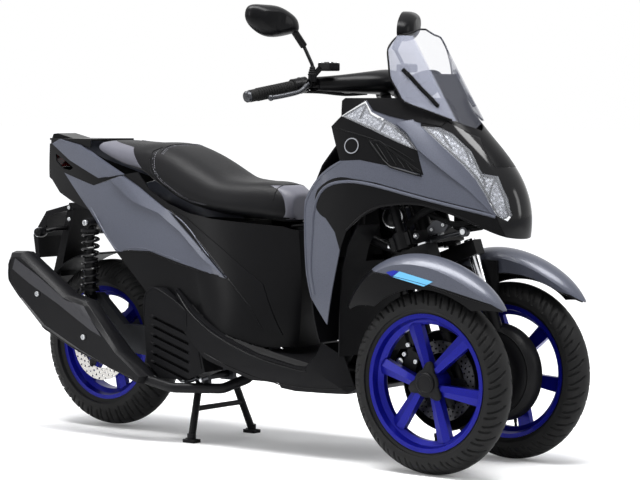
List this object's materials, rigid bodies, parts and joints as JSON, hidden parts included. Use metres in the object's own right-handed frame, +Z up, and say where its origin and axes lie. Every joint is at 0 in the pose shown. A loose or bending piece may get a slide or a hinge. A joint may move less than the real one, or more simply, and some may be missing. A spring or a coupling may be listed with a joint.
{
  "type": "three-wheel leaning scooter",
  "caption": "Step-through scooter with paired steered front wheels on a tilting parallelogram, tall screen, stepped saddle and a single rear wheel.",
  "frame": {"origin": "on the ground, in the plane of symmetry, midway between the foremost and the rearmost point", "axes": "+X forward, +Y to the rider's left, +Z up"},
  "size_m": [1.884, 0.769, 1.2725],
  "materials": {
    "paint": "metallic lacquer",
    "trim": "satin",
    "wheel_paint": "metallic lacquer",
    "tyre": "matt",
    "disc": "ground",
    "chrome": "polished",
    "frame_paint": "satin",
    "engine_alloy": "cast, painted",
    "exhaust_black": "heat-resisting satin",
    "lens": "clear",
    "tail_lens": "red",
    "screen": "light smoke",
    "mirror": "polished",
    "leather": "grained",
    "rubber": "ribbed",
    "shock_paint": "gloss"
  },
  "bodies": {
    "chassis": {"frame": "frame_paint", "tilt_arms": "engine_alloy", "front_cowls": "paint", "arch_liners": "trim", "headlamps": "lens", "intake_panels": "trim", "nose_cover": "trim", "upper_cowl": "trim", "windscreen": "screen", "inner_shield": "trim", "wheel_well": "trim", "floorboard": "trim", "side_skirts": "trim", "body_centre": "trim", "tail_panels": "paint", "tail_cover": "trim", "grab_rails": "paint", "tail_lamp": "tail_lens", "storage_tub": "trim", "rear_mudguard": "trim", "rear_shocks": "shock_paint", "engine": "engine_alloy", "drive_case": "engine_alloy", "radiator_cover": "trim", "exhaust": "exhaust_black"},
    "steering": {"handlebar": "frame_paint", "grips": "rubber", "mirrors": "trim", "mirror_glass": "mirror", "handlebar_cover": "trim", "controls": "trim"},
    "tie_rod": {"tie_rod": "frame_paint"},
    "fork_right": {"fork_right": "frame_paint", "fork_tubes_right": "chrome", "fender_right": "paint", "fender_skirt_right": "trim"},
    "wheel_front_right": {"tyre_front_right": "tyre", "rim_front_right": "wheel_paint", "disc_front_right": "disc"},
    "fork_left": {"fork_left": "frame_paint", "fork_tubes_left": "chrome", "fender_left": "paint", "fender_skirt_left": "trim"},
    "wheel_front_left": {"tyre_front_left": "tyre", "rim_front_left": "wheel_paint", "disc_front_left": "disc"},
    "wheel_rear": {"tyre_rear": "tyre", "rim_rear": "wheel_paint", "disc_rear": "disc"},
    "seat": {"seat": "leather"},
    "centre_stand": {"centre_stand": "frame_paint"},
    "side_stand": {"side_stand": "frame_paint"}
  },
  "joints": [
    {"name": "steering", "type": "hinge", "parent": "chassis", "child": "steering", "pos_m": [0.47382, 0, 0.8], "axis": [-0.342, 0, 0.9397], "range_deg": [-32, 32]},
    {"name": "kingpin_right", "type": "hinge", "parent": "chassis", "child": "fork_right", "pos_m": [0.47382, -0.112, 0.8], "axis": [-0.342, 0, 0.9397], "range_deg": [-32, 32]},
    {"name": "kingpin_left", "type": "hinge", "parent": "chassis", "child": "fork_left", "pos_m": [0.47382, 0.112, 0.8], "axis": [-0.342, 0, 0.9397], "range_deg": [-32, 32]},
    {"name": "tie_rod_pivot", "type": "hinge", "parent": "steering", "child": "tie_rod", "pos_m": [0.5219, 0, 0.8492], "axis": [-0.342, 0, 0.9397], "range_deg": [-32, 32]},
    {"name": "wheel_spin_right", "type": "hinge", "parent": "fork_right", "child": "wheel_front_right", "pos_m": [0.697, -0.1925, 0.25], "axis": [0, 1, 0], "continuous": true},
    {"name": "wheel_spin_left", "type": "hinge", "parent": "fork_left", "child": "wheel_front_left", "pos_m": [0.697, 0.1925, 0.25], "axis": [0, 1, 0], "continuous": true},
    {"name": "wheel_spin_rear", "type": "hinge", "parent": "chassis", "child": "wheel_rear", "pos_m": [-0.653, 0, 0.262], "axis": [0, 1, 0], "continuous": true},
    {"name": "seat_hinge", "type": "hinge", "parent": "chassis", "child": "seat", "pos_m": [0.092, 0, 0.646], "axis": [0, 1, 0], "range_deg": [0, 60]},
    {"name": "centre_stand_pivot", "type": "hinge", "parent": "chassis", "child": "centre_stand", "pos_m": [-0.24, 0, 0.186], "axis": [0, 1, 0], "range_deg": [0, 70]},
    {"name": "side_stand_pivot", "type": "hinge", "parent": "chassis", "child": "side_stand", "pos_m": [0.09, 0.142, 0.176], "axis": [-0.0092, -0.8899, -0.4561], "range_deg": [0, 91]}
  ],
  "couplings": [
    {"joint": "kingpin_right", "follows": "steering", "ratio": 1},
    {"joint": "kingpin_left", "follows": "steering", "ratio": 1},
    {"joint": "tie_rod_pivot", "follows": "steering", "ratio": -1}
  ]
}
